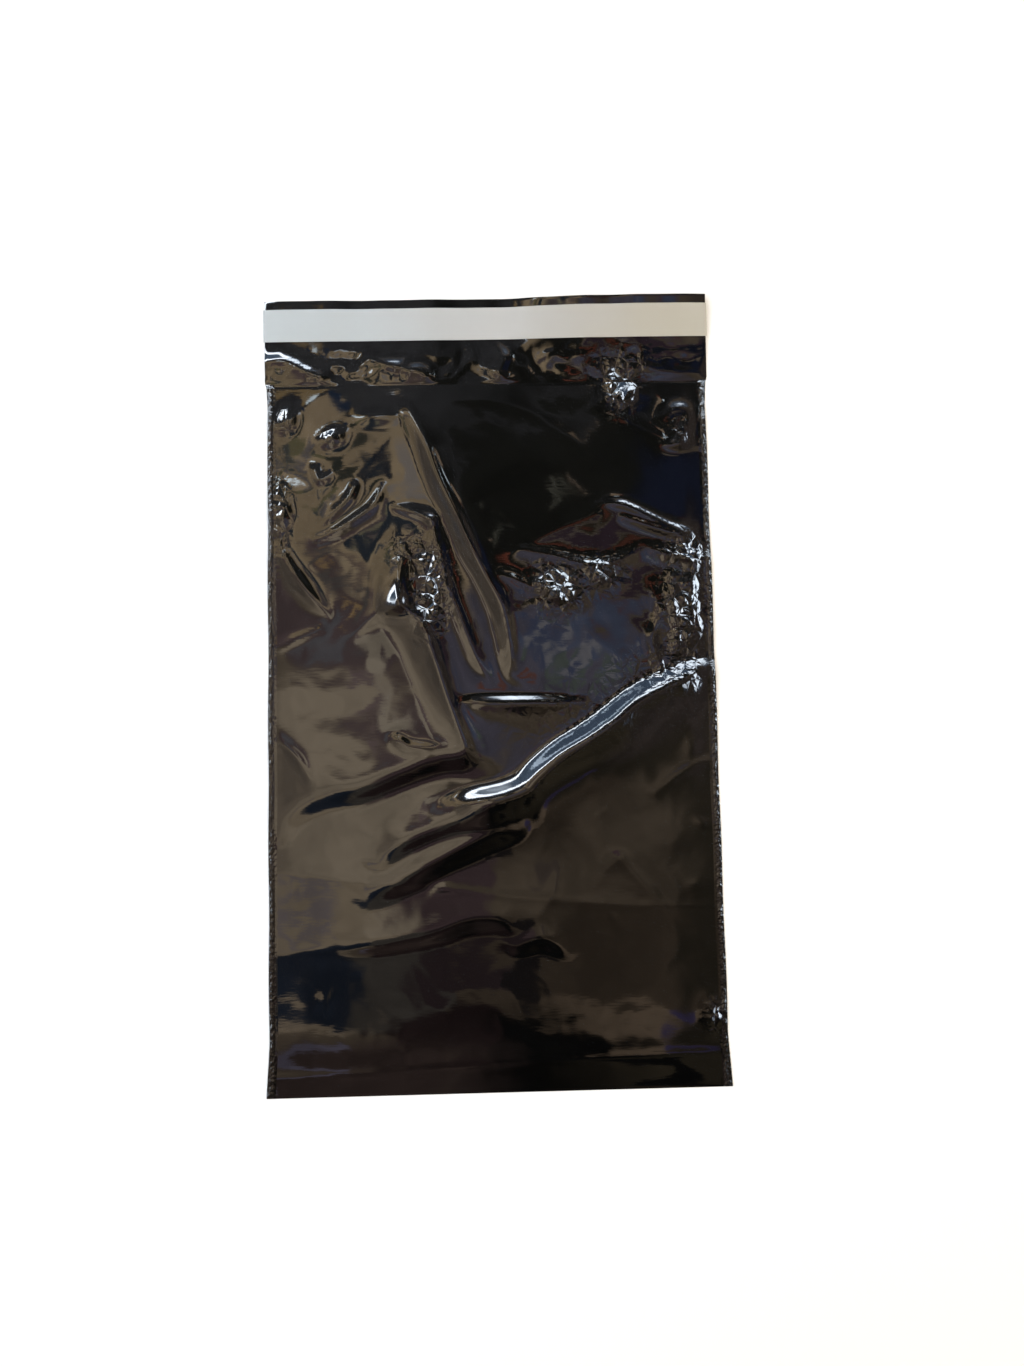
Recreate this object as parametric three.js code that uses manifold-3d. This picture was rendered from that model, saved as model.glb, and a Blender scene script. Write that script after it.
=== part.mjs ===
// An empty poly mailer bag, lying on its back wall with its flap open.
// One length of film is folded once at the bottom and welded along both sides. The back wall runs on past the
// mouth as the flap, which carries a strip of adhesive under a peel-off release liner.
// Millimetres, +Z up. The origin is on the surface that the bag lies on, under the middle of its outline, and
// the flap points to +Y.
import * as THREE from "three";
import { mergeVertices } from "three/addons/utils/BufferGeometryUtils.js";
import Module from "manifold-3d";

// Driving dimensions.
const BAG_WIDTH = 200;
const BAG_LENGTH = 352; // from the bottom fold to the flap's free edge
const FLAP_LENGTH = 40; // how far the back wall runs on past the mouth
const FILM = 0.06; // film gauge
const FOLD_RADIUS = 0.2; // inside radius of the bottom fold
const CROWN = 6.4; // the most air between the walls
const MOUTH_GAP = 5.6; // how far the mouth stands open at its middle
const FILL_LENGTH = 60; // how soon above the bottom fold the bag reaches its crown
const WELD_WIDTH = 2.5;
const WELD_BEAD = 0.15; // the hot-cut edge stands this far past the film
const WELD_START = 0.3; // the molten band stops this far inside the pressed one
const LINER_WIDTH = 15;
const LINER_INSET = 4; // bare film between the flap's free edge and the liner
const LINER_OVERHANG = 0.5; // the liner is cut a little longer than the bag is wide
const LINER = 0.05;
const ADHESIVE_WIDTH = 12;
const ADHESIVE_SHORT = 2; // the adhesive stops this far inside each side weld
const ADHESIVE = 0.05;

const BOTTOM_Y = -BAG_LENGTH / 2;
const FLAP_Y = BAG_LENGTH / 2;
const MOUTH_Y = FLAP_Y - FLAP_LENGTH;
const FOLD_Y = BOTTOM_Y + FOLD_RADIUS + FILM; // where the walls turn into the fold
const EDGE_GAP = 2 * FOLD_RADIUS; // the walls are this far apart at the fold and at the welds

const wasm = await Module();
wasm.setup();

const filmBlack = new THREE.MeshStandardMaterial({ color: 0x0b0b0d, roughness: 0.12, metalness: 0 });
const adhesiveClear = new THREE.MeshStandardMaterial({ color: 0xd9d4bf, roughness: 0.3, metalness: 0 });
const linerWhite = new THREE.MeshStandardMaterial({ color: 0xe2e1dc, roughness: 0.45, metalness: 0 });

// A closed three.js geometry as a manifold-3d solid.
function toSolid(geometry) {
  const bare = geometry.clone();
  bare.deleteAttribute("normal");
  bare.deleteAttribute("uv");
  const merged = mergeVertices(bare, 1e-5);
  return new wasm.Manifold(
    new wasm.Mesh({
      numProp: 3,
      vertProperties: new Float32Array(merged.attributes.position.array),
      triVerts: new Uint32Array(merged.index.array),
    }),
  );
}

// A manifold-3d solid as a three.js geometry.
function toGeometry(solid) {
  const mesh = solid.getMesh();
  const geometry = new THREE.BufferGeometry();
  geometry.setAttribute("position", new THREE.BufferAttribute(new Float32Array(mesh.vertProperties), 3));
  geometry.setIndex(new THREE.BufferAttribute(new Uint32Array(mesh.triVerts), 1));
  geometry.computeVertexNormals();
  return geometry;
}

// The air between the walls at a place on the bag: a low pillow, closed at the welds and the fold.
function airGap(x, y) {
  const side = 1 - Math.min(1, Math.abs(x) / (BAG_WIDTH / 2 - WELD_WIDTH)) ** 4;
  const filled = Math.sin((Math.PI / 2) * Math.min(1, Math.max(0, y - FOLD_Y) / FILL_LENGTH));
  const towardsMouth = THREE.MathUtils.smoothstep(y, 0, MOUTH_Y);
  const middle = filled * THREE.MathUtils.lerp(CROWN, MOUTH_GAP, towardsMouth);
  return EDGE_GAP + Math.max(0, middle - EDGE_GAP) * side;
}

// Places across the film, with one at the inner edge of each weld.
function crossStations() {
  const inner = BAG_WIDTH / 2 - WELD_WIDTH;
  const steps = 20;
  const between = Array.from({ length: steps + 1 }, (_, i) => THREE.MathUtils.lerp(-inner, inner, i / steps));
  return [-BAG_WIDTH / 2, ...between, BAG_WIDTH / 2];
}

// Places along the film, from the flap's free edge down the back wall, round the fold and up the front wall.
// Each is { wall, y } on a wall, or { turn } for an angle round the fold.
function lengthStations() {
  const backWall = [FLAP_Y, FOLD_Y].map((y) => ({ wall: "back", y }));
  const turns = 6;
  const fold = Array.from({ length: turns - 1 }, (_, i) => ({ turn: (Math.PI * (i + 1)) / turns }));
  const steps = 32;
  const frontWall = Array.from({ length: steps + 1 }, (_, i) => {
    const share = (i / steps) ** 1.35; // closer together where the bag rises from its fold
    return { wall: "front", y: THREE.MathUtils.lerp(FOLD_Y, MOUTH_Y, share) };
  });
  return [...backWall, ...fold, ...frontWall];
}

// The film: a flat strip with thickness, cut as long as both walls and the flap, then folded round its stations.
function foldedFilm() {
  const across = crossStations();
  const along = lengthStations();
  const [columns, rows] = [across.length - 1, along.length - 1];
  const strip = new THREE.BoxGeometry(columns, rows, FILM, columns, rows, 1);
  const position = strip.attributes.position;
  for (let i = 0; i < position.count; i++) {
    const x = across[Math.round(position.getX(i) + columns / 2)];
    const station = along[Math.round(rows / 2 - position.getY(i))];
    const outside = position.getZ(i) < 0; // the strip's lower face is the bag's outside
    if (station.wall === "back") {
      position.setXYZ(i, x, station.y, outside ? 0 : FILM);
    } else if (station.wall === "front") {
      position.setXYZ(i, x, station.y, FILM + airGap(x, station.y) + (outside ? FILM : 0));
    } else {
      const radius = FOLD_RADIUS + (outside ? FILM : 0);
      position.setXYZ(
        i,
        x,
        FOLD_Y - radius * Math.sin(station.turn),
        FILM + FOLD_RADIUS - radius * Math.cos(station.turn),
      );
    }
  }
  return toSolid(strip);
}

// A side weld fuses the walls from the bottom fold to the mouth. It reaches the middle of each wall's thickness.
function sideWeld(side) {
  const height = EDGE_GAP + FILM;
  const inner = BAG_WIDTH / 2 - WELD_WIDTH + WELD_START;
  const outer = BAG_WIDTH / 2 + WELD_BEAD;
  const weld = new THREE.BoxGeometry(outer - inner, MOUTH_Y - FOLD_Y - 2 * WELD_START, height);
  weld.translate((side * (outer + inner)) / 2, (MOUTH_Y + FOLD_Y) / 2, FILM / 2 + height / 2);
  return toSolid(weld);
}

function filmBag() {
  const solid = foldedFilm().add(sideWeld(-1)).add(sideWeld(1));
  const mesh = new THREE.Mesh(toGeometry(solid), filmBlack);
  mesh.name = "film_bag";
  return mesh;
}

// The adhesive and the liner are centred on one line across the flap.
const SEAL_Y = FLAP_Y - LINER_INSET - LINER_WIDTH / 2;

function adhesiveStrip() {
  const length = BAG_WIDTH - 2 * (WELD_WIDTH + ADHESIVE_SHORT);
  const mesh = new THREE.Mesh(new THREE.BoxGeometry(length, ADHESIVE_WIDTH, ADHESIVE), adhesiveClear);
  mesh.name = "adhesive_strip";
  mesh.position.set(0, SEAL_Y, FILM + ADHESIVE / 2);
  return mesh;
}

function releaseLiner() {
  const length = BAG_WIDTH + 2 * LINER_OVERHANG;
  const mesh = new THREE.Mesh(new THREE.BoxGeometry(length, LINER_WIDTH, LINER), linerWhite);
  mesh.name = "release_liner";
  mesh.position.set(0, SEAL_Y, FILM + ADHESIVE + LINER / 2);
  return mesh;
}

const polyMailer = new THREE.Group();
polyMailer.name = "poly_mailer_bag";
polyMailer.add(filmBag(), adhesiveStrip(), releaseLiner());

export default polyMailer;
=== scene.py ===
# An empty poly mailer bag of glossy black film, lying flat with its flap open, seen from above.
# Shapes are worked out in millimetres in the bag's own frame: x across, y towards the flap, z up. They are
# scaled to metres when they reach a mesh.
import math

import bmesh
import bpy
import numpy as np
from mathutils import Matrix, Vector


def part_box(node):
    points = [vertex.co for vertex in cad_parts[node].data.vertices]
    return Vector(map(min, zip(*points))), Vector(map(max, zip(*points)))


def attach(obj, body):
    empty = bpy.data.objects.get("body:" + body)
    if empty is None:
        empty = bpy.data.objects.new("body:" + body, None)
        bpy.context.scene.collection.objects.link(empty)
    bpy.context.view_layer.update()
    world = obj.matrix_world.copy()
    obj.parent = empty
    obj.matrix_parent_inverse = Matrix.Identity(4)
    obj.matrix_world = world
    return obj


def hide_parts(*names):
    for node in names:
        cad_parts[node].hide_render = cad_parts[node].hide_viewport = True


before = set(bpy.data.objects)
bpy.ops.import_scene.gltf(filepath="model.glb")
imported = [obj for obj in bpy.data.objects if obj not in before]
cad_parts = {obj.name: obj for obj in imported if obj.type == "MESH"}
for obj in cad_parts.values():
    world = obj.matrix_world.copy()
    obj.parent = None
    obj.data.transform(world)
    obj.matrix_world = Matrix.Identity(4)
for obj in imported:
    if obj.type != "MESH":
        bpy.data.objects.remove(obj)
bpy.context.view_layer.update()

MM = 0.001

# ------------------------------------------------------------------ sizes in millimetres
film_low, film_high = (np.array(corner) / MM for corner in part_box("film_bag"))
liner_low, liner_high = (np.array(corner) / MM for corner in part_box("release_liner"))
glue_low, glue_high = (np.array(corner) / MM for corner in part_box("adhesive_strip"))
BAG_WIDTH = 200  # between the cut edges of the film, without the weld beads
HALF_WIDTH = BAG_WIDTH / 2
BOTTOM_Y, FLAP_Y = film_low[1], film_high[1]
FLAP_LENGTH = 40
MOUTH_Y = FLAP_Y - FLAP_LENGTH
FILM = 0.06
FOLD_RADIUS = 0.14  # inside the bottom fold
FOLD_Y = BOTTOM_Y + FOLD_RADIUS
WALLS_TOGETHER = 2 * FOLD_RADIUS  # the walls' inner faces are this far apart where they are fused
SIDE_HELD = 99  # from here outwards the side welds hold the film to their own height
SIDE_BLEND = 13  # this far inside it, the folds have their full height
FOLD_HELD = -175  # up to here the bottom fold holds the film flat
FOLD_BLEND = 10
CROWN = 0.8  # how far the air in the bag lifts the middle of the front wall
CROWN_HALF_WIDTH = 98
FILL_START = -176
FILL_LENGTH = 26  # how soon above the bottom fold the bag reaches its crown
EDGE_READ = 92  # a side weld lifts with the folds that pass here
EDGE_SHARE = 0.75
EDGE_MOST = 2.6
WELD_INNER = 95.8  # the beaded band of the weld starts here
WELD_SOFT = 1.6  # and has its full strength this much further out
WAIST = 1.2  # how far the filled walls pull each side in
WAIST_BLEND = 22
MOUTH_BLEND = 4
SIDE_WAVE = 0.15  # how far each side wavers
SIDE_WAVE_RUN = 9.0  # millimetres for each radian of the waver
FLAP_CORNER = 3.6  # how far the right end of the flap's free edge lifts
FLAP_CORNER_FROM = 5  # it starts to lift here
FLAP_CORNER_OVER = 45
FLAP_EDGE = 0.5  # how far the whole free edge lifts
FLAP_CURL = 1.3  # the higher, the later the flap rises on its way from the mouth
FLAP_WAVES = [(0.25, -92, 52), (0.12, -30, 23)]  # height, where one starts, how long it is
FLAP_SLACK = 0.035  # how strongly the flap is crumpled between the mouth and the liner
SLACK_TOP = FLAP_Y - 18  # it is crumpled up to here, and fades in and out over these lengths
SLACK_FADES = 10
MOUTH_FADES = 5
EDGE_FADES = 14  # how far past the mouth the side welds still lift the flap
SEAL_Y = (liner_low[1] + liner_high[1]) / 2  # the middle line of the adhesive and the liner
GLUE = 0.04
GLUE_TOP = 0.05  # its upper face is this far over the flap
LINER = 0.05
LINER_TOP = 0.14
FACET = 7.0  # across the small facets of finely crumpled film


# ------------------------------------------------------------------ shape of crumpled film
def smooth_path(points, step=1.0):
    """Points about one step apart on a smooth curve through the given (x, y, height) points."""
    pts = np.array(points, float)
    if len(pts) == 2:
        pts = np.array([pts[0], pts.mean(0), pts[1]])
    ext = np.vstack([2 * pts[0] - pts[1], pts, 2 * pts[-1] - pts[-2]])
    pieces = []
    for i in range(1, len(ext) - 2):
        a, b, c, d = ext[i - 1 : i + 3]
        count = max(2, int(np.linalg.norm(c[:2] - b[:2]) / step))
        s = np.linspace(0, 1, count, endpoint=False)[:, None]
        bend = 2 * a - 5 * b + 4 * c - d
        twist = 3 * b - a - 3 * c + d
        pieces.append(0.5 * (2 * b + (c - a) * s + bend * s**2 + twist * s**3))
    return np.vstack([*pieces, pts[-1:]])


def follow(x, y, points):
    """Distance from a smooth path, which side of it (0 right of travel, 1 left) and its height there."""
    path = smooth_path(points)
    step = np.hypot(*(path[1:, :2] - path[:-1, :2]).T).mean()
    tangent = np.gradient(path[:, :2], axis=0)
    tangent /= np.hypot(*tangent.T)[:, None]
    total = np.zeros(x.shape)
    rise = np.zeros(x.shape)
    side = np.zeros(x.shape)
    for (px, py, pz), (tx, ty) in zip(path, tangent):
        dx, dy = x - px, y - py
        square = dx * dx + dy * dy + 0.05
        weight = square**-3
        total += weight
        rise += weight * pz
        side += weight * (tx * dy - ty * dx) / np.sqrt(square)
    # the sum over a long straight path, turned back into the distance from it
    distance = (3 * np.pi / (8 * step * total)) ** 0.2
    return distance, np.clip(0.5 + side / total, 0, 1), rise / total


def ridge(x, y, points, left, right, crest):
    """A fold along a path: its height falls away over one width to the left and another to the right."""
    distance, side, rise = follow(x, y, points)
    width = right + (left - right) * side
    return rise * np.exp(-(np.sqrt(distance**2 + crest**2) - crest) / width)


def cliff(x, y, points, flank, back):
    """A fold with a steep flank on the left of its path and a long back on the right."""
    distance, side, rise = follow(x, y, points)
    ramp = np.clip(1 - distance / flank, 0, 1)
    ramp = ramp * ramp * (3 - 2 * ramp)
    slope = np.exp(-(np.sqrt(distance**2 + 1) - 1) / back)
    return rise * (slope + (ramp - slope) * side)


def dent(x, y, cx, cy, long, wide, angle, height):
    """A round or oval swelling (or dip, if the height is negative)."""
    c, s = math.cos(math.radians(angle)), math.sin(math.radians(angle))
    u = ((x - cx) * c + (y - cy) * s) / long
    v = (-(x - cx) * s + (y - cy) * c) / wide
    return height * np.exp(-(u * u + v * v))


def noise(x, y, seed):
    """Seeded gradient noise with features one unit across."""
    turn = np.random.default_rng(seed).uniform(0, 2 * np.pi, (256, 256))
    gx, gy = np.cos(turn), np.sin(turn)
    xi, yi = np.floor(x).astype(int), np.floor(y).astype(int)
    fx, fy = x - xi, y - yi
    wx = fx**3 * (fx * (6 * fx - 15) + 10)
    wy = fy**3 * (fy * (6 * fy - 15) + 10)

    def corner(i, j):
        a, b = (xi + i) % 256, (yi + j) % 256
        return gx[a, b] * (fx - i) + gy[a, b] * (fy - j)

    low = corner(0, 0) * (1 - wx) + corner(1, 0) * wx
    high = corner(0, 1) * (1 - wx) + corner(1, 1) * wx
    return low * (1 - wy) + high * wy


def creased(x, y, size, seed):
    """Crumpled film: smooth facets about one size across that meet at sharp ridges."""
    wx = x + 0.6 * size * noise(x / size, y / size, seed + 1)
    wy = y + 0.6 * size * noise(x / size + 31, y / size, seed + 2)
    facets = noise(wx / size, wy / size, seed)
    return size * (0.5 - np.sqrt(facets * facets + 0.0025))


def patchy(x, y, places):
    """The sum of soft round places, each with its middle, its half sizes and its strength."""
    return sum(a * np.exp(-(((x - cx) / rx) ** 2) - ((y - cy) / ry) ** 2) for cx, cy, rx, ry, a in places)


def ease(t):
    """0 to 1 with a soft start and a soft stop."""
    t = np.clip(t, 0, 1)
    return t * t * (3 - 2 * t)


# Cliffs: (x, y, height) points, how wide the steep side (left of travel) is, and how far the back runs out.
CLIFFS = [
    # main diagonal fold, steep to the upper left
    (
        [
            (-30, -58, 0.1), (-18, -55.5, 0.7), (-9, -53, 1.7), (2, -51, 2.4), (14, -47, 2.5),
            (19, -42, 2.8), (30, -33, 3.3), (42, -26, 3.6), (54, -18, 3.6), (64, -10, 3.3), (78, -3, 2.8),
            (88, 1, 2.4), (99, 5, 2.0),
        ],
        10,
        14,
    ),
    # broad dark bands at the lower left, steep downwards
    (
        [
            (4, -38, 0.2), (-8, -31, 0.6), (-25, -31, 0.95), (-42, -36, 1.0), (-58, -42, 0.85),
            (-75, -45, 0.65), (-92, -54, 0.5), (-99, -64, 0.4),
        ],
        12,
        17,
    ),
    ([(8, -55, 0.2), (-8, -57, 0.6), (-25, -61, 0.75), (-40, -67, 0.7), (-52, -75, 0.2)], 9, 12),
    (
        [
            (10, -62, 0.3), (-4, -66, 0.7), (-18, -72, 0.85), (-32, -79, 0.8), (-46, -86, 0.5),
            (-58, -90, 0.15),
        ],
        10,
        12,
    ),
    (
        [
            (8, -104, 0.15), (0, -101, 0.35), (-12, -101, 0.4), (-26, -105, 0.4), (-40, -108, 0.35),
            (-52, -110, 0.3), (-66, -111, 0.1),
        ],
        9,
        16,
    ),
    ([(30, -117, 0.1), (20, -111, 0.4), (8, -114, 0.2)], 7, 8),
    # peak on the right, steep downwards
    (
        [
            (99, 58, 0.1), (84, 66, 0.2), (72, 73, 0.3), (58, 79, 0.35), (47, 75, 0.3), (35, 71, 0.2),
            (22, 65, 0.12), (12, 60, 0.05),
        ],
        20,
        22,
    ),
    # fold between the left side and the dark zone, steep to the left
    (
        [
            (10, 4, 0.2), (8, 18, 0.6), (5, 34, 0.8), (-1, 49, 0.9), (-8, 61, 1.0), (-14, 75, 1.0),
            (-23, 96, 0.8), (-28, 112, 0.6), (-35, 127, 0.2),
        ],
        8,
        16,
    ),
    # short fold across the middle
    (
        [
            (-14, -8.8, 0.1), (-3, -8.6, 0.8), (10, -8.8, 1.0), (22, -9, 0.9), (34, -9.6, 0.4),
            (42, -10, 0.05),
        ],
        4.6,
        7,
    ),
    # tent below the middle of the left side
    (
        [
            (-8, -36, 0.1), (-13, -26, 0.4), (-21, -4, 0.6), (-27, 14, 0.7), (-34, 28, 0.8), (-40, 37, 0.8),
            (-41, 50, 0.5), (-38, 64, 0.2), (-30, 74, 0.1),
        ],
        14,
        6,
    ),
]
# Ridges: points, width to the left of travel, width to the right, crest radius.
RIDGES = [
    # peak, and the folds that run down from it
    (
        [(-26, 74, 0.5), (-22, 58, 0.6), (-19, 44, 0.6), (-13, 28, 0.6), (-7, 12, 0.4), (-1, 2, 0.1)],
        2.5,
        2.5,
        0.4,
    ),
    (
        [
            (-36, 127, 0.15), (-28, 109, 0.3), (-22, 92, 0.4), (-14, 75, 0.5), (-8, 61, 0.5), (-3, 49, 0.4),
            (5, 35, 0.35), (8, 20, 0.3), (9, 8, 0.1),
        ],
        2.0,
        2.5,
        0.5,
    ),
    ([(-26, 74, 0.4), (-33, 77, 0.4), (-42, 80, 0.15)], 1.3, 2.5, 0.4),
    # tent
    (
        [
            (-12, -28, 0.3), (-20, -5, 0.5), (-24, 8, 0.55), (-30, 27, 0.6), (-36, 33, 0.65),
            (-41, 37, 0.8), (-40, 50, 0.3), (-38, 60, 0.1),
        ],
        2.5,
        2.5,
        0.6,
    ),
    ([(-41, 37, 0.7), (-52, 31, 0.4), (-62, 22, 0.1)], 3, 5, 0.8),
    (
        [
            (46, 78, 0.05), (52, 80.5, 0.2), (60, 79.5, 0.62), (70, 75, 0.6), (80, 70, 0.5),
            (90, 66.5, 0.25),
        ],
        1.4,
        1.4,
        0.3,
    ),
    ([(60, 74, 0.3), (75, 68.5, 0.7), (90, 64, 0.4)], 1.5, 1.5, 0.3),
    ([(14, 60, 0.05), (25, 66, 0.1), (36, 71, 0.1), (48, 76, 0.12)], 3, 2, 0.5),
    (
        [(14, 60, 0.2), (30, 57, 0.4), (40, 54, 0.5), (50, 53, 0.5), (60, 56, 0.4), (65, 60, 0.1)],
        1.3,
        3,
        0.4,
    ),
    ([(68, 62, 0.1), (76, 58, 0.5), (88, 55, 0.7), (96, 52, 0.3)], 3, 4, 0.8),
    ([(-77, 66, 0.2), (-68, 70, 0.4), (-60, 75, 0.5), (-52, 81, 0.4), (-47, 90, 0.1)], 1.6, 2, 0.4),
    ([(-60, 90, 0.3), (-63, 84, 0.4), (-70, 77, 0.3), (-74, 73, 0.1)], 1.5, 2, 0.4),
    (
        [
            (-93, 90, 0.2), (-92, 80, 0.6), (-94, 70, 0.6), (-94, 63, 0.6), (-90, 55, 0.7), (-86, 49, 0.7),
            (-80, 41, 0.5), (-73, 33, 0.2),
        ],
        2.5,
        3.5,
        0.5,
    ),
    ([(-99, 14, 0.1), (-88, 21, 0.15), (-76, 26, 0.1)], 1.5, 2, 0.5),
    ([(-78, 98, 0.3), (-76, 93, 0.4), (-72, 95, 0.2)], 1.5, 1.5, 0.4),
    ([(-99, -14, 0.3), (-93, -24, 0.3), (-86, -31, 0.25), (-80, -42, 0.1)], 1.5, 2, 0.5),
    ([(-42, -24, 0.4), (-36, -27, 0.4), (-22, -28, 0.1)], 1.5, 3, 0.6),
    ([(95, 60, 0.3), (91, 48, 1.0), (90, 34, 1.2), (92, 20, 1.1), (91, 8, 0.4)], 4, 3, 0.9),
    ([(82, 50, 0.2), (81, 34, 0.8), (83, 22, 0.7), (80, 10, 0.2)], 2.5, 3, 0.5),
    ([(72, 44, 0.1), (75, 30, 0.4), (71, 18, 0.5), (75, 6, 0.4)], 3, 3, 0.6),
    ([(85, 48, 0.2), (86, 34, 0.5), (87, 18, 0.4), (86, 8, 0.1)], 1.5, 2, 0.4),
    ([(52, 125, 0.15), (60, 120, 0.3), (66, 117, 0.2), (84, 107, 0.15)], 1.3, 3, 0.4),
    ([(80, 119, 0.3), (84, 123, 0.5), (90, 123, 0.5), (91, 116, 0.5), (86, 108, 0.5)], 3, 2, 0.5),
    ([(78, 106.5, 0.05), (84, 106.5, 0.4), (98, 106.5, 0.3)], 2, 1.0, 0.3),
    ([(56, 137, 0.3), (60, 132, 0.5), (61, 127, 0.2)], 2, 2, 0.4),
    (
        [
            (-24, 126, 0.02), (-10, 130, 0.08), (10, 127, 0.1), (26, 119, 0.1), (40, 108, 0.08),
            (52, 96, 0.02),
        ],
        3,
        4,
        1.0,
    ),
    (
        [(-100, -168, 0.08), (-60, -167, 0.1), (-10, -165, 0.1), (40, -163, 0.1), (98, -161, 0.08)],
        1.5,
        3,
        0.5,
    ),
    ([(22, 45, 0.2), (30, 39, 0.5), (38, 34, 0.2)], 2, 2, 0.4),
    ([(5, 49, 0.2), (12, 46, 0.4), (20, 41, 0.1)], 1.5, 2, 0.4),
    ([(70, -49, 0.1), (80, -42, 0.2), (90, -37, 0.25), (99, -35, 0.25)], 2, 3, 0.5),
    ([(54, -77, 0.1), (62, -86, 0.1), (72, -98, 0.06)], 2, 5, 0.6),
    ([(54, -77, 0.08), (46, -83, 0.06), (36, -90, 0.03)], 4, 2, 0.6),
    ([(28, -83, 0.05), (25, -92, 0.12), (18, -101, 0.05)], 3, 3, 0.6),
    ([(-28, -91, 0.03), (-24, -88, 0.1), (-18, -90, 0.03)], 1.5, 2, 0.4),
    # old packing crease across the lower half
    (
        [
            (-98, -80, 0.03), (-60, -85, 0.05), (-30, -88, 0.05), (0, -92, 0.05), (30, -95, 0.06),
            (60, -98, 0.06), (98, -100, 0.04),
        ],
        1.4,
        1.8,
        0.4,
    ),
    ([(-40, -153, 0.02), (-40.5, -160, 0.06), (-40, -168, 0.03)], 1.5, 1.5, 0.4),
    (
        [
            (4, -104, 0.05), (-12, -104, 0.12), (-30, -110, 0.12), (-52, -113, 0.1), (-80, -114, 0.1),
            (-99, -118, 0.1),
        ],
        3,
        5,
        0.6,
    ),
]
# Dents and small swellings: middle, half length, half width, turn in degrees, height.
DENTS = [
    (-91, 120, 8, 4.5, 60, 0.5),
    (-50, 122, 10, 4, 5, 0.3),
    (-70, 112, 6, 3.5, 30, 0.45),
    (-34, 105, 7, 12, 10, 0.04),
    (28, 44, 6, 5, 60, 0.3),
    (48, 48, 6, 5, 0, 0.3),
    (87, 56, 7, 3, -20, 0.4),
    (3, 117, 2, 4, 60, 0.03),
    (-78, -136, 5, 1.6, 70, -0.05),
    (-72, -134.5, 5.5, 1.8, 65, -0.05),
    (46, -58, 3, 1, 40, 0.04),
    (88, -89, 4, 1.6, 10, 0.06),
    (91, -63, 3, 1.5, -30, 0.12),
    (51, -104, 0.9, 3, 20, 0.04),
    (88, -29, 4, 6, -30, 0.15),
]
# Crumpled places: middle, half width, half height, how strongly.
CRUMPLE = [
    (-80, 85, 20, 26, 0.004),
    (-27, 42, 8, 20, 0.02),
    (32, 42, 14, 10, 0.02),
    (84, 30, 10, 28, 0.02),
    (85, 115, 8, 10, 0.02),
    (60, 130, 8, 6, 0.03),
    (30, 10, 34, 24, 0.003),
    (88, 62, 10, 10, 0.02),
    (94, -145, 6, 7, 0.02),
]
# Finely crumpled places that break a highlight up: middle, half width, half height, steepness of facets.
SPARKLE = [
    (-27, 42, 6, 15, 0.34),
    (30, 43, 9, 9, 0.34),
    (50, 49, 8, 6, 0.28),
    (86, 115, 4, 6, 0.12),
    (60, 130, 6, 7, 0.26),
    (86, 28, 8, 24, 0.22),
    (-92, 120, 4, 4, 0.10),
    (-71, 113, 4, 3, 0.10),
    (75, 4, 14, 8, 0.12),
    (94, -145, 4, 5, 0.30),
    (88, 58, 9, 6, 0.24),
    (-94, 75, 4, 18, 0.10),
    (40, -15, 30, 12, 0.04),
    (60, 142, 10, 7, 0.22),
    (-34, 60, 8, 6, 0.08),
]
# Facets of three sizes that crumple the front wall: how large, how strong, seed.
FRONT_CREASES = [(22, 1.4, 5), (11, 1.26, 9), (6, 0.84, 15)]
FRONT_CREASED = 0.002  # how strongly the whole wall is crumpled
FRONT_SWELL = 0.14  # low swells all over, this high
SWELL_WIDE, SWELL_LONG = 30, 22
# Where shallow waves run aslant: middle, half width, half height, how strongly.
FRONT_WAVES = [(30, 12, 45, 34, 0.10)]
WAVE_WIDE, WAVE_LONG = 13, 26
WAVE_SLANT = 0.5


def folds(x, y):
    """The folds, dents and crumples of the front wall, away from its edges."""
    z = 0 * x
    for points, flank, back in CLIFFS:
        z = z + cliff(x, y, points, flank, back)
    for points, left, right, crest in RIDGES:
        z = z + ridge(x, y, points, left, right, crest)
    for each in DENTS:
        z = z + dent(x, y, *each)
    crumple = FRONT_CREASED + patchy(x, y, CRUMPLE)
    z = z + crumple * sum(weight * creased(x, y, size, seed) for size, weight, seed in FRONT_CREASES)
    swell = FRONT_SWELL * noise(x / SWELL_WIDE, y / SWELL_LONG, 61)
    waves = patchy(x, y, FRONT_WAVES) * noise((x - WAVE_SLANT * y) / WAVE_WIDE, y / WAVE_LONG, 63)
    return z + swell + waves


# how far each side weld is off the surface, every 2 mm from the bottom fold to the mouth
EDGE_Y = np.arange(-176.0, 137.0, 2.0)
EDGE_LIFT = {
    side: np.clip(EDGE_SHARE * folds(0 * EDGE_Y + side * EDGE_READ, EDGE_Y), 0.0, EDGE_MOST)
    for side in (-1, 1)
}


def edge_lift(x, y):
    """How far the welded side nearest to x is off the surface."""
    return np.where(x < 0, np.interp(y, EDGE_Y, EDGE_LIFT[-1]), np.interp(y, EDGE_Y, EDGE_LIFT[1]))


def inland(x):
    """0 at the welded sides, 1 where the folds have their full height."""
    return ease((SIDE_HELD - np.abs(x)) / SIDE_BLEND)


def past_fold(y):
    """0 at the bottom fold, 1 where the folds have their full height."""
    return ease((y - FOLD_HELD) / FOLD_BLEND)


def front_height(x, y):
    """How far the front wall stands over its lowest place."""
    inside = inland(x)
    z = folds(x, y) * inside + edge_lift(x, y) * (1 - inside)
    z = z * past_fold(y)
    filled = np.sin(np.pi / 2 * np.clip((y - FILL_START) / FILL_LENGTH, 0, 1))
    return z + CROWN * (1 - np.clip(np.abs(x) / CROWN_HALF_WIDTH, 0, 1) ** 2) * filled


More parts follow.
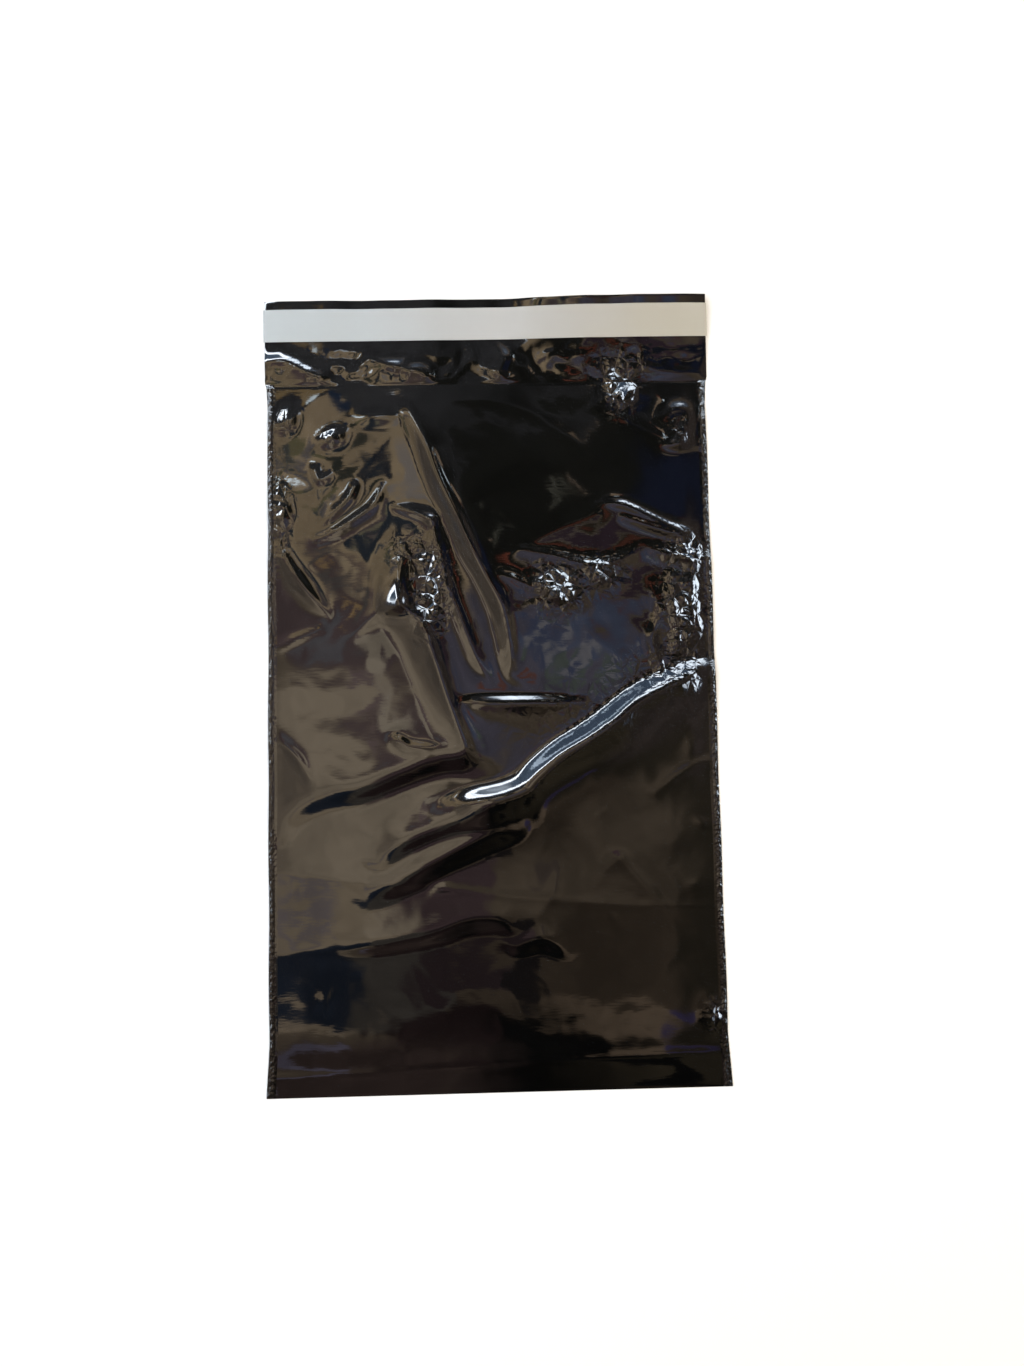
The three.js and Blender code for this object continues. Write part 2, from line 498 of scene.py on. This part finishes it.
# Ridges of the flap, written as the front wall's are.
FLAP_RIDGES = [
    ([(-100, 149, 0.5), (-90, 148, 0.6), (-80, 143, 0.6), (-71, 140, 0.2)], 2, 6, 0.4),
    ([(-60, 152, 0.2), (-45, 146, 0.5), (-30, 142, 0.6), (-24, 138, 0.2)], 5, 4, 0.6),
    ([(4, 155, 0.3), (8, 148, 0.7), (6, 142, 0.7), (12, 137, 0.2)], 4, 5, 0.6),
    ([(20, 152, 0.1), (34, 149, 0.25), (48, 150, 0.25), (52, 155, 0.1)], 5, 4, 0.6),
    ([(70, 155, 0.1), (71, 147, 0.35), (76, 142, 0.4), (98, 140, 0.25)], 3, 4, 0.5),
]
# Facets of two sizes that crumple it: how large, how strong, seed, how high they usually are.
FLAP_CREASES = [(16, 1, 41, 5), (7, 0.7, 47, 2.2)]


def flap_height(x, y):
    """The open flap: its free edge lifts a little towards the right, with low waves along it."""
    out = np.clip((y - MOUTH_Y) / FLAP_LENGTH, 0, 1)
    wave = sum(height * np.sin(2 * np.pi * (x - start) / length) for height, start, length in FLAP_WAVES)
    corner = FLAP_CORNER * ease((x - FLAP_CORNER_FROM) / FLAP_CORNER_OVER)
    z = (corner + FLAP_EDGE + wave) * out**FLAP_CURL
    for points, left, right, crest in FLAP_RIDGES:
        z = z + ridge(x, y, points, left, right, crest)
    # between the mouth and the liner the film is slack
    slack = ease((SLACK_TOP - y) / SLACK_FADES) * ease((y - MOUTH_Y) / MOUTH_FADES)
    crumple = 0
    for size, weight, seed, usual in FLAP_CREASES:
        crumple = crumple + weight * (creased(x, y, size, seed) - usual)
    z = z + slack * FLAP_SLACK * crumple
    edge = edge_lift(x, MOUTH_Y + 0 * y) * (1 - inland(x))
    return np.maximum(z, 0) + edge * ease((MOUTH_Y + EDGE_FADES - y) / EDGE_FADES)


def half_width(y):
    """The filled walls pull the sides in a little between the bottom fold and the mouth."""
    above_fold = np.clip((y - BOTTOM_Y) / WAIST_BLEND, 0, 1)
    below_mouth = np.clip((MOUTH_Y + MOUTH_BLEND / 2 - y) / MOUTH_BLEND, 0, 1)
    pulled = above_fold * below_mouth
    return HALF_WIDTH - WAIST * pulled - SIDE_WAVE * np.sin(y / SIDE_WAVE_RUN) * pulled


# ------------------------------------------------------------------ meshes
FLAP_ROWS, BACK_ROWS, FOLD_ROWS, FRONT_ROWS = 32, 26, 6, 244
FILM_ROWS = FLAP_ROWS + BACK_ROWS + FOLD_ROWS + FRONT_ROWS
FILM_COLUMNS = 158
GLUE_COLUMNS, GLUE_ROWS = 150, 8
LINER_COLUMNS, LINER_ROWS = 160, 12


def sheet_object(name, columns, rows, place, thickness, material):
    """A grid moved to place(across, along), each from 0 to 1, with its thickness added behind its faces."""
    bm = bmesh.new()
    bmesh.ops.create_grid(bm, x_segments=columns, y_segments=rows, size=0.5)
    mesh = bpy.data.meshes.new(name)
    bm.to_mesh(mesh)
    bm.free()
    flat = np.empty(len(mesh.vertices) * 3)
    mesh.vertices.foreach_get("co", flat)
    across, along = flat[0::3] + 0.5, flat[1::3] + 0.5
    placed = np.column_stack(place(across, along)) * MM
    mesh.vertices.foreach_set("co", placed.ravel())
    mesh.shade_smooth()
    mesh.materials.append(material)
    piece = bpy.data.objects.new(name, mesh)
    bpy.context.collection.objects.link(piece)
    solid = piece.modifiers.new("thickness", "SOLIDIFY")
    solid.thickness = thickness * MM
    solid.offset = -1
    # the thin cut edges take their shading from the wide faces beside them
    even = piece.modifiers.new("even_shading", "WEIGHTED_NORMAL")
    even.mode = "FACE_AREA"
    return piece


def film_place(across, along):
    """The flap from its free edge, the back wall, the bottom fold, and the front wall up to the mouth."""
    flap_y = np.linspace(FLAP_Y, MOUTH_Y, FLAP_ROWS, endpoint=False)
    back_y = np.linspace(MOUTH_Y, FOLD_Y, BACK_ROWS, endpoint=False)
    turn = np.linspace(0, np.pi, FOLD_ROWS, endpoint=False)
    front_y = np.linspace(FOLD_Y, MOUTH_Y, FRONT_ROWS + 1)
    row = np.rint(along * FILM_ROWS).astype(int)
    y = np.concatenate([flap_y, back_y, FOLD_Y - FOLD_RADIUS * np.sin(turn), front_y])[row]
    lift = np.concatenate([0 * flap_y, 0 * back_y, FOLD_RADIUS * (1 - np.cos(turn)), 0 * front_y])[row]
    x = (1 - 2 * across) * half_width(y)
    front = row >= FLAP_ROWS + BACK_ROWS + FOLD_ROWS
    flap = row < FLAP_ROWS
    # the back wall only leaves the surface where the welded sides do
    z = lift + edge_lift(x, y) * (1 - inland(x)) * past_fold(y)
    z[flap] = flap_height(x[flap], y[flap])
    z[front] = WALLS_TOGETHER + np.maximum(front_height(x[front], y[front]), 0)
    return x, y, z


def strip_place(low, high, top):
    """A strip on the flap, whose upper face stands this far over the film."""
    half_length, half_depth = ((high - low) / 2)[:2]

    def place(across, along):
        x = (2 * across - 1) * half_length
        y = SEAL_Y + (2 * along - 1) * half_depth
        return x, y, flap_height(np.clip(x, -HALF_WIDTH, HALF_WIDTH), y) + top

    return place


def paint(piece, name, values):
    """Stores one number for each vertex, for the material to read."""
    layer = piece.data.attributes.new(name, "FLOAT", "POINT")
    layer.data.foreach_set("value", values.astype(np.float32))


# ------------------------------------------------------------------ materials
def linear(hex_colour):
    """An sRGB hex colour as linear red, green, blue and alpha."""
    channels = [int(hex_colour[i : i + 2], 16) / 255 for i in (1, 3, 5)]
    return [c / 12.92 if c <= 0.04045 else ((c + 0.055) / 1.055) ** 2.4 for c in channels] + [1.0]


def add(tree, kind, sockets=(), **settings):
    """Adds a node with its own settings. Each socket, by name or number, takes a link or a plain value."""
    node = tree.nodes.new(kind)
    for name, value in settings.items():
        setattr(node, name, value)
    for name, value in dict(sockets).items():
        if isinstance(value, bpy.types.NodeSocket):
            tree.links.new(value, node.inputs[name])
        else:
            node.inputs[name].default_value = value
    return node


def new_material(name):
    """An empty node material and its tree."""
    material = bpy.data.materials.new(name)
    material.use_nodes = True
    tree = material.node_tree
    tree.nodes.clear()
    return material, tree


def gloss_black_film():
    """Low-density polyethylene with carbon black, blown thin: near black all through, a wet-looking gloss,
    fine lines along the web from the die, and a faint haze from slip additive that came to the surface."""
    material, tree = new_material("gloss_black_polyethylene_film")
    place = add(tree, "ShaderNodeTexCoord").outputs["Object"]
    # die lines that run some 4 mm before they fade, drawn 0.9 mm apart, which is coarser than the real ones
    stretch = (1 / (4 * MM), 1 / (0.9 * MM), 1 / (4 * MM))
    stretched = add(tree, "ShaderNodeMapping", {"Vector": place, "Scale": stretch}).outputs[0]
    lines = add(tree, "ShaderNodeTexNoise", {"Vector": stretched, "Scale": 1.0, "Detail": 2.0})
    line_bump = {"Height": lines.outputs["Fac"], "Strength": 0.3, "Distance": 0.008 * MM}
    bump_lines = add(tree, "ShaderNodeBump", line_bump)
    # small flat facets with sharp creases between them where the film is finely crumpled
    depth = add(tree, "ShaderNodeAttribute", attribute_name="fine_crumple").outputs["Fac"]
    cells = {"Vector": place, "Scale": 1 / (FACET * MM), "Detail": 1.0, "Roughness": 0.4}
    facets = add(tree, "ShaderNodeTexVoronoi", cells, feature="DISTANCE_TO_EDGE")
    creases = add(tree, "ShaderNodeMath", {0: facets.outputs["Distance"], 1: depth}, operation="MULTIPLY")
    crease_bump = {"Height": creases.outputs[0], "Normal": bump_lines.outputs[0]}
    bump_creases = add(tree, "ShaderNodeBump", {**crease_bump, "Strength": 1.0, "Distance": FACET * MM})
    # beads of molten film along the welds, a millimetre or so across
    welded = add(tree, "ShaderNodeAttribute", attribute_name="weld").outputs["Fac"]
    beads = add(tree, "ShaderNodeTexNoise", {"Vector": place, "Scale": 1 / (1.6 * MM), "Detail": 2.0})
    beading = add(tree, "ShaderNodeMath", {0: beads.outputs["Fac"], 1: welded}, operation="MULTIPLY")
    bead_bump = {"Height": beading.outputs[0], "Normal": bump_creases.outputs[0]}
    bump = add(tree, "ShaderNodeBump", {**bead_bump, "Strength": 1.0, "Distance": 0.4 * MM}).outputs[0]
    # the haze comes and goes over some 18 mm
    haze = add(tree, "ShaderNodeTexNoise", {"Vector": place, "Scale": 1 / (18 * MM), "Detail": 4.0})
    span = {"From Min": 0.3, "From Max": 0.7, "To Min": 0.015, "To Max": 0.05}
    rough = add(tree, "ShaderNodeMapRange", {"Value": haze.outputs["Fac"], **span})
    finish = {
        "Base Color": linear("#010101"),
        "Roughness": 0.3,
        "IOR": 1.045,
        "Coat Weight": 1.0,
        "Coat IOR": 1.48,
        "Coat Roughness": rough.outputs[0],
        "Normal": bump,
        "Coat Normal": bump,
    }
    shader = add(tree, "ShaderNodeBsdfPrincipled", finish)
    add(tree, "ShaderNodeOutputMaterial", {"Surface": shader.outputs[0]})
    return material


def satin_white_liner():
    """Silicone-coated polyethylene liner: white with a soft sheen. Its colour carries painted light: cool
    towards the left end and warm, yellowish, towards the right end, changing in faint clouds.
    """
    material, tree = new_material("satin_white_release_liner")
    place = add(tree, "ShaderNodeTexCoord").outputs["Object"]
    along = add(tree, "ShaderNodeSeparateXYZ", {"Vector": place}).outputs["X"]
    # painted light: faint clouds move where the painted cool light gives way to the painted warm light
    cloud = add(tree, "ShaderNodeTexNoise", {"Vector": place, "Scale": 1 / (34 * MM), "Detail": 2.0})
    cloudy = {0: cloud.outputs["Fac"], 1: 60 * MM, 2: along}
    shift = add(tree, "ShaderNodeMath", cloudy, operation="MULTIPLY_ADD").outputs[0]
    to_middle = {"Value": shift, "From Min": -60 * MM, "From Max": 45 * MM}
    left = add(tree, "ShaderNodeMapRange", to_middle, interpolation_type="SMOOTHSTEP")
    to_end = {"Value": shift, "From Min": 30 * MM, "From Max": 130 * MM}
    right = add(tree, "ShaderNodeMapRange", to_end, interpolation_type="SMOOTHSTEP")
    # painted light: the white is tinted cool at the left end and warm, yellowish, at the right end, as cool
    # and warm light would tint it
    cool = {"Factor": left.outputs[0], 6: linear("#a1a6a7"), 7: linear("#a2a19e")}
    plain = add(tree, "ShaderNodeMix", cool, data_type="RGBA")
    warm = {"Factor": right.outputs[0], 6: plain.outputs[2], 7: linear("#a09b8e")}
    painted_light_tint = add(tree, "ShaderNodeMix", warm, data_type="RGBA")
    finish = {"Base Color": painted_light_tint.outputs[2], "Roughness": 0.38, "IOR": 1.48}
    shader = add(tree, "ShaderNodeBsdfPrincipled", finish)
    add(tree, "ShaderNodeOutputMaterial", {"Surface": shader.outputs[0]})
    return material


def pale_adhesive():
    """Hot-melt acrylic adhesive: a pale, slightly yellow, glossy strip."""
    material, tree = new_material("pale_hot_melt_adhesive")
    finish = {"Base Color": linear("#cfc8a8"), "Roughness": 0.2, "IOR": 1.48}
    shader = add(tree, "ShaderNodeBsdfPrincipled", finish)
    add(tree, "ShaderNodeOutputMaterial", {"Surface": shader.outputs[0]})
    return material


def white_paper():
    """Seamless studio paper: matt and white."""
    material, tree = new_material("white_studio_paper")
    shader = add(tree, "ShaderNodeBsdfPrincipled", {"Base Color": linear("#f6f6f5"), "Roughness": 0.9})
    add(tree, "ShaderNodeOutputMaterial", {"Surface": shader.outputs[0]})
    return material


# ------------------------------------------------------------------ the bag
film_black = gloss_black_film()
liner_white = satin_white_liner()
adhesive_pale = pale_adhesive()

film = sheet_object("mailer_film", FILM_COLUMNS, FILM_ROWS, film_place, FILM, film_black)
corners = np.empty(len(film.data.vertices) * 3)
film.data.vertices.foreach_get("co", corners)
film_x, film_y = corners[0::3] / MM, corners[1::3] / MM
paint(film, "fine_crumple", patchy(film_x, film_y, SPARKLE))
paint(film, "weld", ease((np.abs(film_x) - WELD_INNER) / WELD_SOFT) * (film_y < MOUTH_Y + 1))

glue_place = strip_place(glue_low, glue_high, GLUE_TOP)
adhesive = sheet_object("adhesive", GLUE_COLUMNS, GLUE_ROWS, glue_place, GLUE, adhesive_pale)
liner_place = strip_place(liner_low, liner_high, LINER_TOP)
liner = sheet_object("liner", LINER_COLUMNS, LINER_ROWS, liner_place, LINER, liner_white)

for piece, node, slot in (
    (film, "film_bag", "film"),
    (adhesive, "adhesive_strip", "adhesive"),
    (liner, "release_liner", "liner"),
):
    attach(piece, "root")
    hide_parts(node)


# ------------------------------------------------------------------ studio
CAMERA = (-4.64, -48.49, 528.33)  # where the camera is, in millimetres
CAMERA_TURN = (5.298, -1.313, -1.226)  # degrees
LENS = 31.6
FLOOR_HALF = 1100
FLOOR_GAP = 0.2  # below the surface that the bag's inner face lies on
SOFTBOX_SIDE = 1.2  # metres
SOFTBOX_POWER = 17  # watts
FILM_SHOWS = 0.0385  # share of the light that the film mirrors face on
LEAST_CLIMB = 0.05  # a ray that climbs less is taken as climbing this much
HORIZON = (0.50, 0.38)  # the climbs between which the room fades into plain studio
HORIZON_COLOUR = "#f4f5f6"
# How the edges in the room waver: how many to a unit of run, and how far they move.
WAVERS = [(9.0, 0.055), (55.0, 0.016)]
# How much darker and lighter its surfaces are in patches.
MOTTLE = {"From Min": 0.3, "From Max": 0.7, "To Min": 0.7, "To Max": 1.3}
CEILING = "#352e26"
# The room over the bag. Its parts are given by the sideways run of a ray for each unit that it climbs. ROOM
# holds the large ones: the middle and half size, the turn in degrees, how soft the edge is as a share of
# the size, the colour seen in the film, and how many times brighter the part is. Later ones lie over
# earlier ones.
ROOM = [
    (0.17, -0.170, 0.17, 0.075, 0, 0.6, "#231d17", 1),  # ceiling in shade, lower right
    (0.245, -0.12, 0.045, 0.12, 0, 0.6, "#17140f", 1),
    (-0.13, -0.005, 0.088, 0.105, 0, 0.12, "#5d5448", 1),  # lit ceiling, left
    (-0.26, -0.005, 0.06, 0.105, 0, 0.3, "#4a4239", 1),
    (-0.12, -0.110, 0.12, 0.026, -4, 0.3, "#51483c", 1),
    (-0.15, 0.255, 0.36, 0.085, 3, 0.12, "#5f5342", 1),  # beige wall
    (-0.155, 0.150, 0.09, 0.045, -6, 0.25, "#352c2c", 1),  # shaded corner
    (0.070, 0.105, 0.095, 0.085, 8, 0.25, "#302e35", 1),  # dusk blue
    (0.11, 0.29, 0.145, 0.090, 0, 0.1, "#0d0d0b", 1),  # dark beam
    (0.22, 0.27, 0.055, 0.08, 0, 0.4, "#0b0d15", 1),  # navy
    (-0.06, 0.42, 0.34, 0.09, -5, 0.05, "#1f1f20", 1),  # grey band
    (0.17, 0.39, 0.15, 0.06, 0, 0.5, "#0e0e0d", 1),
    (-0.047, -0.082, 0.052, 0.038, 12, 0.2, "#2a2122", 1),  # maroon
    (-0.175, -0.155, 0.072, 0.030, -5, 0.12, "#10141b", 1),  # navy, left
    (-0.075, -0.153, 0.046, 0.038, 0, 0.12, "#272421", 1),
    (-0.02, -0.128, 0.050, 0.022, 14, 0.25, "#191314", 1),
    (-0.04, -0.21, 0.060, 0.040, 10, 0.2, "#140e0e", 1),
    (0.135, -0.345, 0.17, 0.137, 3, 0.06, "#040404", 1),  # doorway
    (-0.2, -0.32, 0.19, 0.10, 0, 0.3, "#211a18", 1),
    (-0.45, 0.05, 0.20, 0.20, 0, 0.2, "#3a342e", 1),
    (0.40, 0.0, 0.12, 0.45, 0, 0.5, "#241f1d", 1),  # shade on the right
    (0.42, -0.42, 0.28, 0.20, 0, 0.4, "#1f1b14", 1),
    (1.00, 0.05, 0.50, 0.6, 0, 0.12, "#333d4d", 1),  # dusk on the right
    (0.66, 0.12, 0.10, 0.3, 0, 0.7, "#dce8f4", 1.2),
    (-1.00, 0.15, 0.50, 0.7, 0, 0.15, "#353a44", 1),  # dusk on the left
    (-0.68, 0.15, 0.08, 0.35, 0, 0.7, "#c4d0dc", 1.0),
    (0.0, 1.05, 1.2, 0.50, 0, 0.12, "#333e4c", 1),  # dusk over the top
    (0.05, 0.72, 0.50, 0.09, 0, 0.7, "#dce8f4", 1.1),
    (-0.50, 0.66, 0.26, 0.34, -45, 0.3, "#3a4654", 1),  # dusk at the upper left
    (-0.33, 0.49, 0.035, 0.30, -45, 0.6, "#eef6ff", 1.4),
    (-0.62, 0.78, 0.05, 0.30, -45, 0.8, "#98a8b8", 1.0),
    (0.0, -0.90, 1.3, 0.46, 0, 0.15, "#0a0908", 1),
    (-0.1, -0.62, 0.7, 0.03, 4, 0.5, "#2b241e", 1),
]
# THINGS holds the small parts, placed by where the film shows them, in millimetres on the bag: the middle,
# the half size, the turn, the softness and the colour.
THINGS = [
    (-57, 36, 13, 5, 35, 0.3, "#373331"),
    (-62, 31, 6, 2.2, -40, 0.4, "#655339"),
    (-68, 17, 15, 6, 22, 0.4, "#383638"),
    (-52, 12, 6, 16, -15, 0.2, "#635b50"),
    (-34, -5.2, 9, 2.4, -3, 0.3, "#3f3535"),
    (-94, 104, 7, 5, 30, 0.3, "#2b2c2a"),
    (-84, 115, 20, 5, 43, 0.1, "#20211d"),
    (-91, 121, 9, 4, 60, 0.3, "#98a2a6"),
    (-82, 92, 12, 4, 15, 0.3, "#333232"),
    (-86, 76, 12, 10, 15, 0.3, "#3a3833"),
    (-78, 47, 19, 12, 5, 0.3, "#332d2d"),
    (-66, 64, 12, 5, 0, 0.4, "#695d4b"),
    (-72, 104, 5, 4, 60, 0.3, "#2c2e30"),
    (-64, 118, 6, 7, -15, 0.2, "#121a26"),
    (-71, 113, 8, 2.2, 45, 0.3, "#b4bec4"),
    (-48, 121.5, 11, 4.5, 12, 0.25, "#787d82"),
    (-37, 115, 6, 8, -60, 0.35, "#403c2c"),
    (-48, 100, 15, 4, 65, 0.15, "#0f1319"),
    (-62, 83, 10, 3, 50, 0.2, "#1c1f22"),
    (-52, 66, 14, 3, -8, 0.4, "#4a4638"),
    (-33, 86, 4.5, 7, 20, 0.3, "#56504b"),
    (-28, 54, 7, 22, 6, 0.15, "#161a1f"),
    (15, 4, 8, 4, -10, 0.5, "#38241f"),
    (30, -16, 12, 5, 50, 0.5, "#2c2124"),
    (36, 0, 6, 9, 0, 0.6, "#303431"),
    (20, 20, 8, 10, 0, 0.6, "#262a38"),
    (33, 24, 6, 7, 20, 0.4, "#424144"),
    (53, 38, 10, 9, 30, 0.4, "#382625"),
    (55, 14, 8, 16, -8, 0.6, "#2a2e3a"),
    (34, 94, 7, 1.2, -33, 0.4, "#36352f"),
    (44, 88, 1.6, 1.6, 20, 0.3, "#4a4138"),
    (86, 92, 15, 16, 0, 0.4, "#0e111c"),
    (50, 67, 36, 8, 4, 0.15, "#21191e"),
    (26, 61.5, 10, 2.4, 8, 0.25, "#46241b"),
    (30, 55, 14, 2, -5, 0.5, "#16181a"),
    (76, 117, 7, 5, -20, 0.3, "#3a1f18"),
    (96, 118, 3.5, 8, 0, 0.3, "#2a1512"),
    (86, 115, 5.5, 8, 0, 0.2, "#8a959b"),
    (-58, 148, 16, 4, -12, 0.3, "#5a4c36"),
    (-86, 143, 14, 4, 0, 0.4, "#413c3a"),
    (12, 146, 7, 8, 20, 0.3, "#5c4f41"),
    (56, 153, 36, 2.0, 0, 0.4, "#363028"),
    (44, 140, 14, 3.4, 0, 0.3, "#361f18"),
    (87, 138, 12, 2.6, -4, 0.3, "#453d33"),
    (-78, -96, 13, 2.2, -3, 0.3, "#453f3e"),
    (22, -93, 4.5, 9, -25, 0.3, "#2a2420"),
    (-78, -147, 28, 3.5, 0, 0.3, "#4c4338"),
    (-80, -157, 20, 4.5, 0, 0.4, "#34313a"),
    (50, -144, 28, 7, -12, 0.3, "#393027"),
    (92, -144.5, 15, 5, -3, 0.2, "#1f1b2b"),
    (26, -155, 40, 12, -12, 0.1, "#050505"),
    (14, -130, 9, 22, 12, 0.15, "#0d0b0b"),
    (72, -166, 34, 9, 2, 0.1, "#050505"),
]


def mirrored_at(x, y, reach=5.0):
    """The runs of the rays that the film mirrors towards the camera, by its slope around each place."""

    def height(at_x, at_y):
        at_x = np.clip(at_x, -CROWN_HALF_WIDTH, CROWN_HALF_WIDTH)
        return np.where(y > MOUTH_Y, flap_height(at_x, at_y), front_height(at_x, at_y))

    slope_x = (height(x + reach, y) - height(x - reach, y)) / (2 * reach)
    slope_y = (height(x, y + reach) - height(x, y - reach)) / (2 * reach)
    return (x - CAMERA[0]) / CAMERA[2] - 2 * slope_x, (y - CAMERA[1]) / CAMERA[2] - 2 * slope_y


def glow(colour, times=1):
    """The light that a part of the room needs so that the film shows it in this colour."""
    return [channel * times / FILM_SHOWS for channel in linear(colour)]


def room_part(tree, run, below, middle, half, angle, soft, colour):
    """Lays one part of the room, with rounded corners, over the parts below it."""
    c, s = math.cos(math.radians(angle)), math.sin(math.radians(angle))
    # each dot product turns and shifts the run, and measures it in half sizes of the part
    row_x = (c / half[0], s / half[0], -(c * middle[0] + s * middle[1]) / half[0])
    row_y = (-s / half[1], c / half[1], (s * middle[0] - c * middle[1]) / half[1])
    across = add(tree, "ShaderNodeVectorMath", {0: run, 1: row_x}, operation="DOT_PRODUCT")
    up = add(tree, "ShaderNodeVectorMath", {0: run, 1: row_y}, operation="DOT_PRODUCT")
    both = {"X": across.outputs["Value"], "Y": up.outputs["Value"]}
    local = add(tree, "ShaderNodeCombineXYZ", both).outputs[0]
    square = add(tree, "ShaderNodeVectorMath", {0: local, 1: local}, operation="MULTIPLY")
    far = add(tree, "ShaderNodeVectorMath", {0: square.outputs[0]}, operation="LENGTH")
    edge = {"Value": far.outputs["Value"], "From Min": (1 + soft) ** 2, "From Max": (1 - soft) ** 2}
    inside = add(tree, "ShaderNodeMapRange", edge, interpolation_type="SMOOTHSTEP")
    laid = {"Factor": inside.outputs[0], 6: below, 7: colour}
    return add(tree, "ShaderNodeMix", laid, data_type="RGBA").outputs[2]


def studio_world():
    """The room that the film mirrors, as a colour for each direction."""
    world = bpy.data.worlds.new("studio")
    world.use_nodes = True
    tree = world.node_tree
    tree.nodes.clear()
    direction = add(tree, "ShaderNodeTexCoord").outputs["Generated"]
    parts = add(tree, "ShaderNodeSeparateXYZ", {"Vector": direction})
    climb = add(tree, "ShaderNodeMath", {0: parts.outputs["Z"], 1: LEAST_CLIMB}, operation="MAXIMUM")
    run_x = add(tree, "ShaderNodeMath", {0: parts.outputs["X"], 1: climb.outputs[0]}, operation="DIVIDE")
    run_y = add(tree, "ShaderNodeMath", {0: parts.outputs["Y"], 1: climb.outputs[0]}, operation="DIVIDE")
    # the third number stays 1, so that one dot product both turns and shifts
    runs = {"X": run_x.outputs[0], "Y": run_y.outputs[0], "Z": 1.0}
    straight = add(tree, "ShaderNodeCombineXYZ", runs).outputs[0]
    run = straight
    for scale, amount in WAVERS:
        waver = add(tree, "ShaderNodeTexNoise", {"Vector": straight, "Scale": scale, "Detail": 1.0})
        centred = {0: waver.outputs["Color"], 1: (0.5, 0.5, 0.5)}
        shift = add(tree, "ShaderNodeVectorMath", centred, operation="SUBTRACT").outputs[0]
        moved = {0: shift, 1: (amount, amount, 0), 2: run}
        run = add(tree, "ShaderNodeVectorMath", moved, operation="MULTIPLY_ADD").outputs[0]

    seen = glow(CEILING)
    for x, y, half_x, half_y, angle, soft, colour, times in ROOM:
        seen = room_part(tree, run, seen, (x, y), (half_x, half_y), angle, soft, glow(colour, times))
    middles = np.column_stack(mirrored_at(*np.array([thing[:2] for thing in THINGS]).T))
    for middle, (_, _, half_x, half_y, angle, soft, colour) in zip(middles, THINGS):
        half = (half_x / CAMERA[2], half_y / CAMERA[2])
        seen = room_part(tree, run, seen, middle, half, angle, soft, glow(colour))
    tone = add(tree, "ShaderNodeTexNoise", {"Vector": straight, "Scale": 14.0, "Detail": 3.0})
    level = add(tree, "ShaderNodeMapRange", {"Value": tone.outputs["Fac"], **MOTTLE}).outputs[0]
    room = add(tree, "ShaderNodeVectorMath", {0: seen, 1: level}, operation="MULTIPLY").outputs[0]
    # low down, and below the floor's edge, the studio is plain and pale
    fade = {"Value": parts.outputs["Z"], "From Min": HORIZON[0], "From Max": HORIZON[1]}
    low = add(tree, "ShaderNodeMapRange", fade, interpolation_type="SMOOTHSTEP").outputs[0]
    whole = {"Factor": low, 6: room, 7: linear(HORIZON_COLOUR)}
    horizon = add(tree, "ShaderNodeMix", whole, data_type="RGBA").outputs[2]
    background = add(tree, "ShaderNodeBackground", {"Color": horizon})
    add(tree, "ShaderNodeOutputWorld", {"Surface": background.outputs[0]})
    return world


def paper_floor():
    """A wide sheet of paper just under the bag."""
    bm = bmesh.new()
    bmesh.ops.create_grid(bm, x_segments=1, y_segments=1, size=FLOOR_HALF * MM)
    bmesh.ops.translate(bm, verts=bm.verts, vec=(0, 0, -FLOOR_GAP * MM))
    mesh = bpy.data.meshes.new("floor")
    bm.to_mesh(mesh)
    bm.free()
    mesh.materials.append(white_paper())
    paper = bpy.data.objects.new("floor", mesh)
    bpy.context.collection.objects.link(paper)
    return paper


def softbox(name, place, colour):
    """A wide soft light that lights the floor and the liner, and that the film doesn't mirror."""
    light = bpy.data.lights.new(name, "AREA")
    light.shape = "RECTANGLE"
    light.size = SOFTBOX_SIDE
    light.size_y = SOFTBOX_SIDE
    light.energy = SOFTBOX_POWER
    light.color = linear(colour)[:3]
    lamp = bpy.data.objects.new(name, light)
    lamp.location = place
    lamp.rotation_euler = (0, math.atan2(place[0], place[2]), 0)
    lamp.visible_glossy = False
    bpy.context.collection.objects.link(lamp)


floor = paper_floor()

scene = bpy.context.scene
scene.world = studio_world()
# the softboxes alone light the floor and the liner, as though the room were small and far away
scene.world.cycles_visibility.diffuse = False
scene.world.cycles.sampling_method = "NONE"
scene.view_settings.view_transform = "Standard"

softbox("cool_softbox", (-0.7, 0.1, 1.0), "#e8f2ff")
softbox("warm_softbox", (0.7, 0.1, 1.0), "#fff0da")

camera = bpy.data.objects.new("camera", bpy.data.cameras.new("camera"))
camera.data.lens = LENS
camera.location = [value * MM for value in CAMERA]
camera.rotation_euler = [math.radians(angle) for angle in CAMERA_TURN]
bpy.context.collection.objects.link(camera)
scene.camera = camera
